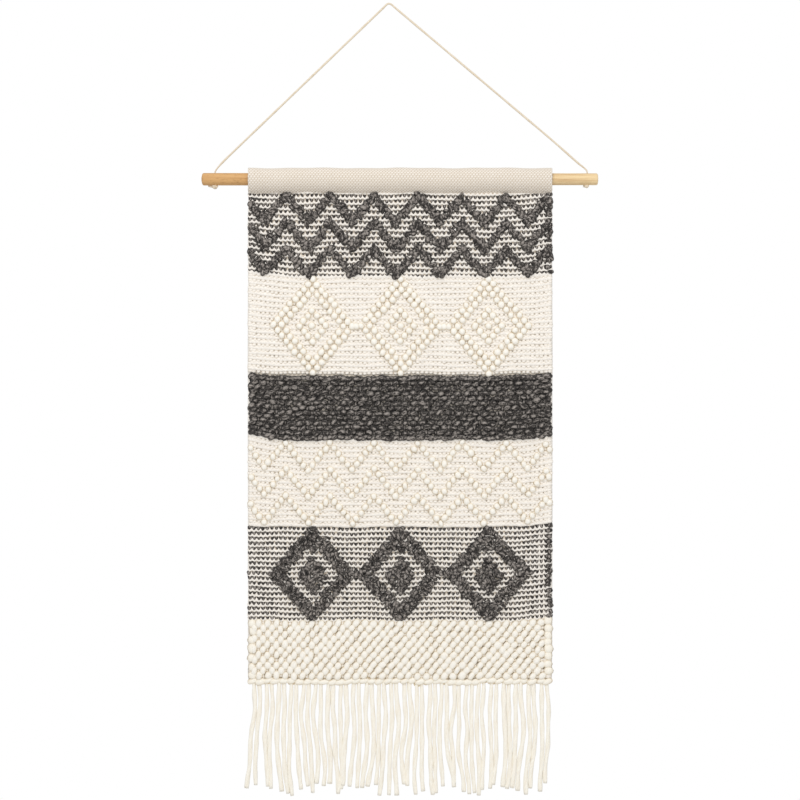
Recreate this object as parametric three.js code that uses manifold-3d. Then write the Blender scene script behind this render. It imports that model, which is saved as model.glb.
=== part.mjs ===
// A woven wall hanging: a cloth with raised loop motifs hangs by a sleeve on a wooden dowel,
// and a cord knotted through the dowel holds it up.  Millimetres, +Z up, the front faces -Y.
// The origin is the hanging point: the underside of the cord at its highest place.
import * as THREE from 'three';
import { mergeVertices } from 'three/addons/utils/BufferGeometryUtils.js';
import Module from 'manifold-3d';

const wasm = await Module();
wasm.setup();

// ---- driving dimensions ------------------------------------------------------------------

const GAP = 0.3;                       // clearance between pieces that touch

const CLOTH_WIDTH = 457;
const CLOTH_LEFT = -211.2;
const CLOTH_MIDDLE = CLOTH_LEFT + CLOTH_WIDTH / 2;
const COLUMNS = 69;                    // warp pairs across the cloth
const COLUMN = CLOTH_WIDTH / COLUMNS;

const DOWEL_RADIUS = 9;
const DOWEL_LEFT = -280;
const DOWEL_LENGTH = 594;
const DOWEL_Z = -262;
const DOWEL_SIDES = 28;
const DOWEL_CHAMFER = 1;

const CORD_RADIUS = 1.5;
const CORD_SIDES = 8;
const CORD_STEPS = 78;
const CORD_HOLE_RADIUS = 2.4;
const HOLE_SIDES = 12;
const LEFT_HOLE_X = -260;
const RIGHT_HOLE_X = 297.8;

// The cord's free stretch as [x, z], from the left hole's mouth over the hanging point to the right.
const CORD_ROUTE = [
  [-260.0, -250.7], [-258.6, -247.8], [-256.2, -244.6], [-252.6, -240.4], [-245.6, -233.1],
  [-205.0, -194.1], [-160.0, -150.9], [-115.0, -107.7], [-70.0, -64.5], [-30.0, -26.1],
  [-13.0, -9.8], [-7.6, -4.7], [-4.0, -0.9], [0.0, 1.5], [4.2, 0.1],
  [8.6, -3.7], [16.0, -9.9], [50.0, -38.6], [100.0, -80.8], [150.0, -123.0],
  [200.0, -165.2], [245.0, -203.2], [278.9, -233.1], [286.2, -239.4], [292.0, -243.9],
  [296.3, -247.8], [297.8, -250.7],
];

const SLEEVE_TOP_RADIUS = 17;
const SLEEVE_BORE_RADIUS = DOWEL_RADIUS + GAP;
const SLEEVE_BOTTOM_Z = -285.2;
const SLEEVE_ARC_STEPS = 12;
const SEAM_RADIUS = 0.8;
const SEAM_Y = 7.4;
const SEAM_Z = -279.5;
const SEAM_INSET = 8;

const GROUND_THICKNESS = 4.4;
const LOOP_HEIGHT = 6;                 // how far the raised loops stand in front of the ground

// Edges of the cloth's bands, from the sleeve down to the fringe.
const GROUND_TOP_Z = -290;
const BAND_Z = {
  charcoalZigzags: [-296, -408],
  creamDiamonds: [-409, -557],
  charcoalLoops: [-558, -655],
  creamZigzags: [-660, -784],
  charcoalDiamonds: [-785, -921.6],
  creamLoops: [-922.4, -1013],
  twinedEdge: [-1013.3, -1020.4],
};
const GROUND_BOTTOM_Z = BAND_Z.creamLoops[1];

const ZIGZAG_ROWS = 16;
const ZIGZAG_PERIOD = 10;              // columns from peak to peak
const ZIGZAG_RISE = 5;                 // rows from valley to peak
const ZIGZAG_FIRST_PEAK = 8;           // column of the first whole peak
const ZIGZAG_NAMES = ['upper', 'middle', 'lower'];
const CHARCOAL_ZIGZAG_HEIGHT = 15;
const CREAM_ZIGZAG_HEIGHT = 10;

const DIAMOND_PERIOD = 20;             // columns from one diamond's centre to the next
const DIAMOND_ROWS = 19;
const DIAMOND_NAMES = ['left', 'centre', 'right'];
const DIAMOND_REACH = 9.6;             // columns from a diamond's centre to its outer corner
const DIAMOND_INNER = 6.4;
const HEART_REACH = 3.7;

const FRINGE_COUNT = 24;
const FRINGE_PITCH = CLOTH_WIDTH / FRINGE_COUNT;
const FRINGE_RADIUS = 3.1;
const FRINGE_SPREAD = 4.3;             // from a yarn's middle to each of its two ends
const FRINGE_SIDES = 8;
const FRINGE_Y = GROUND_THICKNESS / 2 - 0.1;
const FRINGE_Z = BAND_Z.twinedEdge[1] - GAP - FRINGE_RADIUS;
const FRINGE_LENGTH = 156;
const FRINGE_UNEVEN = 8;               // most that an end is longer or shorter

// ---- materials ---------------------------------------------------------------------------

function finish(color, roughness) {
  return new THREE.MeshStandardMaterial({ color, roughness, metalness: 0 });
}

const creamYarn = () => finish(0xf3ebdf, 0.95);
const charcoalYarn = () => finish(0x4e4b4a, 0.95);
const greyBeigeCloth = () => finish(0xdcd4ca, 0.92);
const stripedCloth = () => finish(0xd8d0c4, 0.95);
const paleWood = () => finish(0xe0bd8b, 0.6);
const cottonCord = () => finish(0xe2d4be, 0.9);

// ---- helpers -----------------------------------------------------------------------------

const model = new THREE.Group();

function addPiece(name, geometry, material) {
  const mesh = new THREE.Mesh(geometry, material);
  mesh.name = name;
  model.add(mesh);
  return mesh;
}

// A closed mesh with its shared corners merged, as a solid that can be joined and cut.
function solidOf(geometry) {
  const bare = geometry.clone();
  bare.deleteAttribute('normal');
  bare.deleteAttribute('uv');
  const merged = mergeVertices(bare, 1e-4);
  return new wasm.Manifold(new wasm.Mesh({
    numProp: 3,
    vertProperties: Float32Array.from(merged.attributes.position.array),
    triVerts: Uint32Array.from(merged.index.array),
  }));
}

function geometryOf(solid) {
  const mesh = solid.getMesh();
  const geometry = new THREE.BufferGeometry();
  geometry.setAttribute('position', new THREE.BufferAttribute(mesh.vertProperties, 3));
  geometry.setIndex(new THREE.BufferAttribute(mesh.triVerts, 1));
  geometry.computeVertexNormals();
  return geometry;
}

function ring(radius, sides) {
  const points = [];
  for (let i = 0; i < sides; i += 1) {
    const angle = ((i + 0.5) / sides) * Math.PI * 2;
    points.push(new THREE.Vector2(radius * Math.cos(angle), radius * Math.sin(angle)));
  }
  return new THREE.Shape(points);
}

// A flat outline drawn as [x, z], made as thick as back - front.
function slab(outline, hole, front, back) {
  const shape = new THREE.Shape(outline.map(([x, z]) => new THREE.Vector2(x, z)));
  if (hole) shape.holes.push(new THREE.Path(hole.map(([x, z]) => new THREE.Vector2(x, z))));
  const geometry = new THREE.ExtrudeGeometry(shape, { depth: back - front, bevelEnabled: false });
  geometry.rotateX(Math.PI / 2);
  geometry.translate(0, back, 0);
  return geometry;
}

// A section drawn as [y, z], run along X from left to left + length.
function alongX(outline, hole, left, length) {
  const shape = new THREE.Shape(outline.map(([y, z]) => new THREE.Vector2(y, z)));
  if (hole) shape.holes.push(new THREE.Path(hole.map(([y, z]) => new THREE.Vector2(y, z))));
  const geometry = new THREE.ExtrudeGeometry(shape, { depth: length, bevelEnabled: false });
  geometry.rotateZ(Math.PI / 2);
  geometry.rotateY(Math.PI / 2);
  geometry.translate(left, 0, 0);
  return geometry;
}

function rod(radius, sides, length) {
  return new THREE.CylinderGeometry(radius, radius, length, sides, 1);
}

// ---- dowel, cord and knots ---------------------------------------------------------------

function buildDowel() {
  const end = DOWEL_LENGTH / 2;
  const profile = [
    new THREE.Vector2(0, -end),
    new THREE.Vector2(DOWEL_RADIUS - DOWEL_CHAMFER, -end),
    new THREE.Vector2(DOWEL_RADIUS, -end + DOWEL_CHAMFER),
    new THREE.Vector2(DOWEL_RADIUS, end - DOWEL_CHAMFER),
    new THREE.Vector2(DOWEL_RADIUS - DOWEL_CHAMFER, end),
    new THREE.Vector2(0, end),
  ];
  const bar = new THREE.LatheGeometry(profile, DOWEL_SIDES);
  bar.rotateZ(-Math.PI / 2);
  bar.translate(DOWEL_LEFT + end, 0, DOWEL_Z);
  let dowel = solidOf(bar);
  for (const x of [LEFT_HOLE_X, RIGHT_HOLE_X]) {
    const drill = rod(CORD_HOLE_RADIUS, HOLE_SIDES, DOWEL_RADIUS * 3);
    drill.rotateX(Math.PI / 2);
    drill.translate(x, 0, DOWEL_Z);
    dowel = dowel.subtract(solidOf(drill));
  }
  addPiece('dowel', geometryOf(dowel), paleWood());
}

function buildHangingCord() {
  const route = new THREE.CatmullRomCurve3(
    CORD_ROUTE.map(([x, z]) => new THREE.Vector3(x, 0, z)), false, 'centripetal');
  const cord = new THREE.ExtrudeGeometry(ring(CORD_RADIUS, CORD_SIDES), {
    steps: CORD_STEPS, extrudePath: route, bevelEnabled: false,
  });
  addPiece('hanging_cord', geometryOf(solidOf(cord)), cottonCord());
}

// A stopper knot under the dowel, with the cord that runs from it up through the hole.
function buildKnot(name, holeX, lobes) {
  const underside = DOWEL_Z - DOWEL_RADIUS - GAP;
  const top = DOWEL_Z + DOWEL_RADIUS;
  const knotDepth = 3;
  const length = top - underside + knotDepth;
  const stem = rod(CORD_RADIUS, CORD_SIDES, length);
  stem.rotateX(Math.PI / 2);
  stem.translate(holeX, 0, top - length / 2);
  let knot = solidOf(stem);
  for (const lobe of lobes) {
    const ball = new THREE.SphereGeometry(1, 10, 8);
    ball.scale(lobe.wide / 2, lobe.deep / 2, lobe.high / 2);
    ball.translate(holeX + lobe.offset, 0, underside - lobe.high / 2);
    knot = knot.add(solidOf(ball));
  }
  addPiece(name, geometryOf(knot), cottonCord());
}

// ---- sleeve ------------------------------------------------------------------------------

// Half of the sleeve's outside, from the top round the front to its narrow neck.
function sleeveOutside() {
  const front = [];
  for (let i = 0; i <= SLEEVE_ARC_STEPS; i += 1) {
    const angle = Math.PI / 2 + (i / SLEEVE_ARC_STEPS) * (Math.PI / 2);
    const y = (SLEEVE_TOP_RADIUS - 2) * Math.cos(angle);
    front.push([y, DOWEL_Z + SLEEVE_TOP_RADIUS * Math.sin(angle)]);
  }
  front.push([-15, DOWEL_Z - 5], [-12.4, DOWEL_Z - 10], [-8, DOWEL_Z - 14.4]);
  front.push([-4.6, DOWEL_Z - 18], [-3, SLEEVE_BOTTOM_Z]);
  const back = front.slice(1).reverse().map(([y, z]) => [-y, z]);
  return front.concat(back);
}

// The channel that the dowel lies in: round above, drawn to a point where the layers are sewn.
function sleeveChannel() {
  const points = [];
  for (let i = 0; i <= 2 * SLEEVE_ARC_STEPS; i += 1) {
    const angle = -Math.PI / 5 + (i / (2 * SLEEVE_ARC_STEPS)) * (Math.PI * 1.4);
    points.push([
      SLEEVE_BORE_RADIUS * Math.cos(angle) * 1.01,
      DOWEL_Z + SLEEVE_BORE_RADIUS * Math.sin(angle) * 1.01,
    ]);
  }
  points.push([0, DOWEL_Z - 14]);
  return points;
}

function buildSleeve() {
  const sleeve = alongX(sleeveOutside(), sleeveChannel(), CLOTH_LEFT, CLOTH_WIDTH);
  addPiece('rod_sleeve', geometryOf(solidOf(sleeve)), greyBeigeCloth());
  const length = CLOTH_WIDTH - 2 * SEAM_INSET;
  const seam = rod(SEAM_RADIUS, CORD_SIDES, length);
  seam.rotateZ(Math.PI / 2);
  seam.translate(CLOTH_MIDDLE, SEAM_Y, SEAM_Z);
  addPiece('sleeve_seam', geometryOf(solidOf(seam)), creamYarn());
}

// ---- woven panel -------------------------------------------------------------------------

const columnX = (column) => CLOTH_LEFT + (column + 0.5) * COLUMN;

function buildGround() {
  const right = CLOTH_LEFT + CLOTH_WIDTH;
  const outline = [
    [CLOTH_LEFT, GROUND_TOP_Z], [CLOTH_LEFT, GROUND_BOTTOM_Z],
    [right, GROUND_BOTTOM_Z], [right, GROUND_TOP_Z],
  ];
  addPiece('woven_ground', slab(outline, null, 0, GROUND_THICKNESS), stripedCloth());
}

function buildBand(name, [top, bottom], front, back, material) {
  const right = CLOTH_LEFT + CLOTH_WIDTH;
  const outline = [[CLOTH_LEFT, top], [CLOTH_LEFT, bottom], [right, bottom], [right, top]];
  addPiece(name, slab(outline, null, front, back), material);
}

// Three zigzags of raised loops, one below another across the whole cloth.
function buildZigzags(name, [top, bottom], height, material) {
  const row = (top - bottom) / ZIGZAG_ROWS;
  const last = COLUMNS - 1;
  for (let k = 0; k < ZIGZAG_NAMES.length; k += 1) {
    const corners = [0];
    for (let c = ZIGZAG_FIRST_PEAK - ZIGZAG_RISE; c < last; c += ZIGZAG_RISE) corners.push(c);
    corners.push(last);
    const line = corners.map((c) => {
      const steps = Math.abs(c - ZIGZAG_FIRST_PEAK) % ZIGZAG_PERIOD;
      const fall = Math.min(steps, ZIGZAG_PERIOD - steps);
      return [columnX(c), top - (ZIGZAG_RISE * k + fall) * row - height / 2];
    });
    const upper = line.map(([x, z]) => [x, z + height / 2]);
    const lower = line.map(([x, z]) => [x, z - height / 2]).reverse();
    const zigzag = slab(upper.concat(lower), null, -GAP - LOOP_HEIGHT, -GAP);
    addPiece(`${name}_${ZIGZAG_NAMES[k]}`, zigzag, material());
  }
}

function rhombus(x, z, reach, row) {
  return [
    [x - reach * COLUMN, z], [x, z - reach * row],
    [x + reach * COLUMN, z], [x, z + reach * row],
  ];
}

// Three diamonds of raised loops side by side, each an outline round a small heart.
function buildDiamonds(name, [top, bottom], material) {
  const row = (top - bottom) / (DIAMOND_ROWS + 1);
  const z = (top + bottom) / 2;
  DIAMOND_NAMES.forEach((place, i) => {
    const x = columnX((COLUMNS - 1) / 2 + (i - 1) * DIAMOND_PERIOD);
    const front = -GAP - LOOP_HEIGHT;
    const outer = rhombus(x, z, DIAMOND_REACH, row);
    const inner = rhombus(x, z, DIAMOND_INNER, row).reverse();
    addPiece(`${name}_${place}`, slab(outer, inner, front, -GAP), material());
    const heart = rhombus(x, z, HEART_REACH, row);
    addPiece(`${name}_heart_${place}`, slab(heart, null, front, -GAP), material());
  });
}

// ---- fringe ------------------------------------------------------------------------------

// One soft yarn folded in half at the hem, so that its two ends hang side by side.
function buildFringeYarn(index) {
  const x = CLOTH_LEFT + (index + 0.5) * FRINGE_PITCH;
  const fold = rod(FRINGE_RADIUS, FRINGE_SIDES, 2 * (FRINGE_SPREAD + FRINGE_RADIUS));
  fold.rotateZ(Math.PI / 2);
  fold.translate(x, FRINGE_Y, FRINGE_Z);
  let yarn = solidOf(fold);
  for (const side of [-1, 1]) {
    const length = FRINGE_LENGTH + FRINGE_UNEVEN * Math.sin(index * 2.3 + side * 1.1);
    const end = rod(FRINGE_RADIUS * 0.97, FRINGE_SIDES, length);
    end.rotateX(Math.PI / 2);
    end.translate(x + side * FRINGE_SPREAD, FRINGE_Y, FRINGE_Z - length / 2);
    yarn = yarn.add(solidOf(end));
  }
  const number = String(index + 1).padStart(2, '0');
  addPiece(`fringe_${number}`, geometryOf(yarn), creamYarn());
}

// ---- assembly ----------------------------------------------------------------------------

buildDowel();
buildHangingCord();
buildKnot('cord_knot_left', LEFT_HOLE_X, [
  { offset: -0.6, wide: 8, deep: 8, high: 6.4 },
  { offset: -7, wide: 9, deep: 7, high: 6.8 },
]);
buildKnot('cord_knot_right', RIGHT_HOLE_X, [
  { offset: 0.3, wide: 7.4, deep: 7, high: 5.4 },
  { offset: -3.2, wide: 5, deep: 5, high: 4 },
]);
buildSleeve();
buildGround();
const loopFront = -GAP - LOOP_HEIGHT;
buildZigzags('charcoal_zigzag', BAND_Z.charcoalZigzags, CHARCOAL_ZIGZAG_HEIGHT, charcoalYarn);
buildDiamonds('cream_diamond', BAND_Z.creamDiamonds, creamYarn);
buildBand('charcoal_loop_band', BAND_Z.charcoalLoops, loopFront, -GAP, charcoalYarn());
buildZigzags('cream_zigzag', BAND_Z.creamZigzags, CREAM_ZIGZAG_HEIGHT, creamYarn);
buildDiamonds('charcoal_diamond', BAND_Z.charcoalDiamonds, charcoalYarn);
buildBand('cream_loop_band', BAND_Z.creamLoops, loopFront, -GAP, creamYarn());
buildBand('twined_edge', BAND_Z.twinedEdge, -3, GROUND_THICKNESS + 0.6, creamYarn());
for (let i = 0; i < FRINGE_COUNT; i += 1) buildFringeYarn(i);

export default model;
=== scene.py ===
"""A woven wall hanging on a wooden dowel: raised loops, ribbed ground, sleeve, cord and fringe.

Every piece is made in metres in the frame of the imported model: X to the right, Y to the wall, Z up.
"""
import logging
import math
from dataclasses import dataclass, field
from enum import Enum
from typing import Callable, Mapping, Sequence

import bmesh
import bpy
import numpy as np
from mathutils import Matrix, Vector


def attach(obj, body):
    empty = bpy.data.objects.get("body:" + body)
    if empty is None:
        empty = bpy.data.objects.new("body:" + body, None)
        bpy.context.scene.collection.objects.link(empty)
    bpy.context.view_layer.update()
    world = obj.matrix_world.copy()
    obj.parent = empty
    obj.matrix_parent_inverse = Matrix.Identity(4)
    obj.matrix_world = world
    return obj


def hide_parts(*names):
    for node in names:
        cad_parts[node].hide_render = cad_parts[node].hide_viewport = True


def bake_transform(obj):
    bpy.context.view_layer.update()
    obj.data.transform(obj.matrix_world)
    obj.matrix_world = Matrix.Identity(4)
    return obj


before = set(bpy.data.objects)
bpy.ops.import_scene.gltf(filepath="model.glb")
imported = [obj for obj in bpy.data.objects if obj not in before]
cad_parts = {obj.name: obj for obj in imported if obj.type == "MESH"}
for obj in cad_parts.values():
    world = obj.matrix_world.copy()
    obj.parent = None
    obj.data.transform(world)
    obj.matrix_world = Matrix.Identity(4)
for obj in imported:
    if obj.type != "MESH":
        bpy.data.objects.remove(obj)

LOG = logging.getLogger("wall_hanging")
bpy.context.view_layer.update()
MM = 0.001
SEED = 20
FULL_TURN = 2 * math.pi
HEM = -1.0150                               # the height of the cloth's lower edge
PLY_SIDES = 12                              # faces round a cord or a fringe end
WHITE = (1.0, 1.0, 1.0, 1.0)

Array = np.ndarray
Mesh = bpy.types.Mesh
Piece = bpy.types.Object
Random = np.random.Generator
Surface = Callable[[Array, Array], Array]   # from places along and angles round to points
Cell = tuple[int, int]                      # a column and a row
Cells = Sequence[Cell]


# Shaders

def linear(red: int, green: int, blue: int) -> tuple[float, float, float, float]:
    """Turns a display colour into the linear one that shaders take.

    Args:
        red, green, blue: the display colour, 0 to 255.

    Returns:
        The linear colour with an alpha of 1.
    """
    def channel(value: int) -> float:
        """Undoes the display curve of one channel."""
        part = value / 255
        return part / 12.92 if part <= 0.04045 else ((part + 0.055) / 1.055) ** 2.4

    return (channel(red), channel(green), channel(blue), 1.0)


def operator(operation: str, swapped: bool = False) -> Callable[["Value", object], "Value"]:
    """Makes the method of an operator.

    Args:
        operation: the Math node's operation.
        swapped: whether the value comes second.

    Returns:
        The method.
    """
    def method(self: "Value", other: object) -> "Value":
        """Adds the Math node."""
        return self.math(operation, *((other, self) if swapped else (self, other)))

    return method


class Value:
    """A socket whose arithmetic adds Math nodes to its shader."""

    def __init__(self, shader: "Shader", socket: bpy.types.NodeSocket) -> None:
        """Wraps an output socket of a shader's node."""
        self.shader = shader
        self.socket = socket

    def math(self, operation: str, first: object, second: object = 0.0) -> "Value":
        """Adds one Math node on two values or numbers and gives its result."""
        node = self.shader.node("ShaderNodeMath", {"operation": operation}, {0: first, 1: second})
        return Value(self.shader, node.outputs[0])

    __add__ = __radd__ = operator("ADD")
    __mul__ = __rmul__ = operator("MULTIPLY")
    __sub__, __rsub__ = operator("SUBTRACT"), operator("SUBTRACT", swapped=True)
    __truediv__, __rtruediv__ = operator("DIVIDE"), operator("DIVIDE", swapped=True)
    __pow__ = operator("POWER")

    def clamped(self) -> "Value":
        """Keeps the value between 0 and 1."""
        return self.math("MINIMUM", self.math("MAXIMUM", self, 0.0), 1.0)


class Shader:
    """One material's node graph, built through a single node method."""

    def __init__(self, name: str) -> None:
        """Makes an empty material of that name with a Principled shader."""
        self.material = bpy.data.materials.new(name)
        self.material.use_nodes = True
        self.tree = self.material.node_tree
        self.tree.nodes.clear()
        self.output = self.tree.nodes.new("ShaderNodeOutputMaterial")
        self.surface = self.tree.nodes.new("ShaderNodeBsdfPrincipled")
        self.tree.links.new(self.surface.outputs[0], self.output.inputs["Surface"])

    def node(self, kind: str, settings: Mapping[str, object], inputs: Mapping[object, object]
             ) -> bpy.types.Node:
        """Adds a node, makes its settings and then fills its inputs.

        Args:
            kind: the node's type.
            settings: its properties, which are set first.
            inputs: socket names or numbers, with a Value, a socket or a constant for each.

        Returns:
            The new node.
        """
        node = self.tree.nodes.new(kind)
        for key, value in settings.items():
            setattr(node, key, value)
        for key, value in inputs.items():
            self.fill(node.inputs[key], value)
        return node

    def fill(self, socket: bpy.types.NodeSocket, value: object) -> None:
        """Links a value to a socket, or sets the socket's own constant."""
        value = value.socket if isinstance(value, Value) else value
        if isinstance(value, bpy.types.NodeSocket):
            self.tree.links.new(value, socket)
        else:
            socket.default_value = value

    def constants(self, **values: object) -> None:
        """Sets the Principled shader's own sockets; an underscore stands for a space."""
        for key, value in values.items():
            self.surface.inputs[key.replace("_", " ")].default_value = value

    def attribute(self, name: str) -> bpy.types.Node:
        """Reads an attribute that the mesh carries."""
        return self.node("ShaderNodeAttribute", {"attribute_name": name}, {})

    def number(self, name: str) -> Value:
        """Reads a number that the mesh carries."""
        return Value(self, self.attribute(name).outputs["Fac"])

    def scaled(self, vector: object, scale: tuple[float, float, float]) -> object:
        """Stretches a vector by a scale in each direction."""
        node = self.node("ShaderNodeVectorMath", {"operation": "MULTIPLY"}, {0: vector, 1: scale})
        return node.outputs["Vector"]

    def noise(self, place: object, scale: float, detail: float = 3.0, rough: float = 0.55) -> Value:
        """Adds a noise of about 0.5, with its scale, its octaves and how rough the finer ones are."""
        node = self.node("ShaderNodeTexNoise", {}, {
            "Vector": place, "Scale": scale, "Detail": detail, "Roughness": rough})
        return Value(self, node.outputs["Fac"])

    def mixed(self, factor: object, first: object, second: object) -> bpy.types.NodeSocket:
        """Mixes two colours, all of the first where the factor is 0 and of the second at 1."""
        node = self.node("ShaderNodeMix", {"data_type": "RGBA"}, {0: factor, 6: first, 7: second})
        return node.outputs[2]

    def bumped(self, height: Value, distance: float, strength: float) -> None:
        """Feeds a height, its depth in metres and how much of it shows to the surface's normal."""
        node = self.node("ShaderNodeBump", {}, {
            "Height": height, "Distance": distance, "Strength": strength})
        self.fill(self.surface.inputs["Normal"], node.outputs["Normal"])


@dataclass(frozen=True)
class YarnFinish:
    """A soft matt yarn: fibres that run along it, lighter and darker lengths, and painted shade in
    its hollows.
    """

    name: str
    light: tuple[int, int, int]
    dark: tuple[int, int, int]
    # the colour of the painted shade in its hollows
    hollow_shade: tuple[int, int, int]
    heather: float = 0.5            # how strongly light and dark tufts alternate
    fibre_scale: float = 1300.0     # per metre across the yarn
    tuft_scale: float = 420.0       # per metre across the yarn
    relief: float = 0.5
    fall: float = 1.6               # how quickly the painted shade of its hollows sets in; less is sooner
    shade: float = 0.5              # how much of it is in the darker colour
    sheen: float = 0.25

    def made(self) -> bpy.types.Material:
        """Builds the material."""
        shader = Shader(self.name)
        along = shader.attribute("yarn").outputs["Vector"]
        fibres = shader.noise(shader.scaled(along, (0.22, 1.0, 1.0)), self.fibre_scale, 4.0, 0.6)
        tufts = shader.noise(shader.scaled(along, (0.6, 1.0, 1.0)), self.tuft_scale, 3.0, 0.6)
        place = shader.node("ShaderNodeTexCoord", {}, {}).outputs["Object"]
        clouds = shader.noise(place, 55.0, 2.0)
        tone = shader.number("tone")
        spread = ((fibres - 0.5) * 3.0 + (tufts - 1.0 + self.shade) * 9.0) * self.heather
        spread = spread + (tone - 0.5) * 0.7 * self.heather + (clouds - 0.5) * 0.5
        colour = shader.mixed((0.5 + spread).clamped(), linear(*self.light), linear(*self.dark))
        # Painted shade: the colour darkens towards the hollow shade colour where the depth attribute
        # is high.
        hollow_shade = (shader.number("depth") ** self.fall).clamped()
        colour = shader.mixed(hollow_shade, colour, linear(*self.hollow_shade))
        shader.fill(shader.surface.inputs["Base Color"], colour)
        shader.constants(Roughness=0.95, Sheen_Weight=self.sheen, Sheen_Roughness=0.6,
                         Specular_IOR_Level=0.15)
        shader.bumped(fibres * 0.35 + tufts, 0.0016, self.relief)
        return shader.material


@dataclass(frozen=True)
class WoodFinish:
    """Bare sanded wood with its grain along X, warmer at the left and paler at the right."""

    name: str = "dowel_wood"
    warm: tuple[int, int, int] = (216, 170, 112)
    pale: tuple[int, int, int] = (242, 216, 168)
    grain: tuple[int, int, int] = (178, 126, 68)
    fleck: tuple[int, int, int] = (150, 104, 58)
    left: float = -0.20
    right: float = 0.26

    def made(self) -> bpy.types.Material:
        """Builds the material."""
        shader = Shader(self.name)
        place = shader.node("ShaderNodeTexCoord", {}, {}).outputs["Object"]
        across = Value(shader, shader.node("ShaderNodeSeparateXYZ", {}, {0: place}).outputs["X"])
        side = ((across - self.left) / (self.right - self.left)).clamped()
        body = shader.mixed(side, linear(*self.warm), linear(*self.pale))
        long_grain = shader.noise(shader.scaled(place, (14.0, 330.0, 330.0)), 1.0, 5.0, 0.62)
        pores = shader.noise(shader.scaled(place, (70.0, 700.0, 700.0)), 1.0, 3.0, 0.6)
        flecks = shader.noise(shader.scaled(place, (180.0, 300.0, 300.0)), 1.0, 2.0, 0.5)
        streak = ((long_grain - 0.5) * 3.6 + 0.32).clamped() * 0.62
        speck = ((flecks - 0.55) * 5.0).clamped() * 0.38 * (1.15 - side)
        colour = shader.mixed(streak, body, linear(*self.grain))
        colour = shader.mixed(speck, colour, linear(*self.fleck))
        shader.fill(shader.surface.inputs["Base Color"], colour)
        shader.fill(shader.surface.inputs["Roughness"], 0.52 + long_grain * 0.2)
        shader.bumped(long_grain * 0.6 + pores * 0.4, 0.0003, 0.35)
        return shader.material


# Mesh helpers

def mesh_of(bm: bmesh.types.BMesh) -> Mesh:
    """Writes a bmesh, which is used up, to a new mesh."""
    mesh = bpy.data.meshes.new("mesh")
    bm.to_mesh(mesh)
    bm.free()
    return mesh


def linked(name: str, data: bpy.types.ID) -> Piece:
    """Puts a new object with this data into the scene."""
    item = bpy.data.objects.new(name, data)
    bpy.context.scene.collection.objects.link(item)
    return item


def dice(number: int) -> Random:
    """Gives the random numbers of one piece."""
    return np.random.default_rng(SEED + number)


@dataclass(frozen=True)
class Bend:
    """Two bodies that a soft piece passes between, and the heights where it leaves and joins."""

    upper: str
    lower: str
    leaves: float
    joins: float


DOWEL_BEND = Bend("cord", "dowel", -0.249, -0.257)
PANEL_BEND = Bend("sleeve", "panel", -0.283, -0.308)
FRINGE_BEND = Bend("panel", "fringe", -1.0195, -1.0300)


@dataclass
class Workshop:
    """Makes finished pieces out of meshes and hangs them on the frame's bodies."""

    materials: dict[str, bpy.types.Material]

    def piece(self, name: str, mesh: Mesh, finish: str, body: str | Bend, slot: str) -> Piece:
        """Turns a mesh into a smooth piece that rides on a body, or that stays fixed where it is
        made.

        Args:
            name: the piece's name.
            mesh: its mesh.
            finish: the name of its material.
            body: the body it rides on, or the bend that it passes; a piece at a bend rides on no
                body.
            slot: the record's material slot; not used.

        Returns:
            The piece.
        """
        mesh.name = name
        mesh.shade_smooth()
        mesh.materials.append(self.materials[finish])
        item = linked(name, mesh)
        if isinstance(body, Bend):
            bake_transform(item)
        else:
            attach(item, body)
        LOG.info("%s: %d faces", name, len(mesh.polygons))
        return item


def carry(mesh: Mesh, yarn: Array, tone: Array, depth: Array) -> None:
    """Writes what a yarn's finish reads to its mesh.

    Args:
        mesh: the mesh.
        yarn: for each vertex, its place along, round and apart on the yarn, in metres.
        tone: for each vertex, how light its length of yarn is, 0 to 1.
        depth: for each vertex, how much painted shade it takes, 0 to 1, from how far down in the
            cloth it lies.
    """
    # The depth attribute is the mask of the painted shade.
    for name, kind, key, values in (("yarn", "FLOAT_VECTOR", "vector", yarn),
                                    ("tone", "FLOAT", "value", tone),
                                    ("depth", "FLOAT", "value", depth)):
        mesh.attributes.new(name, kind, "POINT").data.foreach_set(
            key, np.ascontiguousarray(values, np.float32).ravel())


def places_of(mesh: Mesh) -> Array:
    """Reads a mesh's vertices as an array of points."""
    points = np.empty(len(mesh.vertices) * 3, np.float32)
    mesh.vertices.foreach_get("co", points)
    return points.reshape(-1, 3).astype(float)


def move_to(mesh: Mesh, points: Array) -> None:
    """Puts a mesh's vertices at the points."""
    mesh.vertices.foreach_set("co", np.ascontiguousarray(points, np.float32).ravel())
    mesh.update()


def copies(template: bmesh.types.BMesh, count: int) -> tuple[Mesh, Array]:
    """Lays copies of one shape on each other, in one mesh, by doubling them.

    Args:
        template: the shape, which is used up.
        count: how many there are to be.

    Returns:
        The mesh and, for each vertex, its place in a list of copy after copy.
    """
    corners = len(template.verts)
    corner_layer = template.verts.layers.int.new("corner")
    copy_layer = template.verts.layers.int.new("copy")
    for number, vertex in enumerate(template.verts):
        vertex[corner_layer] = number
    made = 1
    while made < count:
        take = min(made, count - made)
        verts = [vertex for vertex in template.verts if vertex[copy_layer] < take]
        edges = [edge for edge in template.edges if edge.verts[0][copy_layer] < take]
        faces = [face for face in template.faces if face.verts[0][copy_layer] < take]
        result = bmesh.ops.duplicate(template, geom=verts + edges + faces)
        for item in result["geom"]:
            if isinstance(item, bmesh.types.BMVert):
                item[copy_layer] += made
        made += take
    order = np.array([v[copy_layer] * corners + v[corner_layer] for v in template.verts])
    for layer in ("corner", "copy"):
        template.verts.layers.int.remove(template.verts.layers.int[layer])
    return mesh_of(template), order


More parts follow.
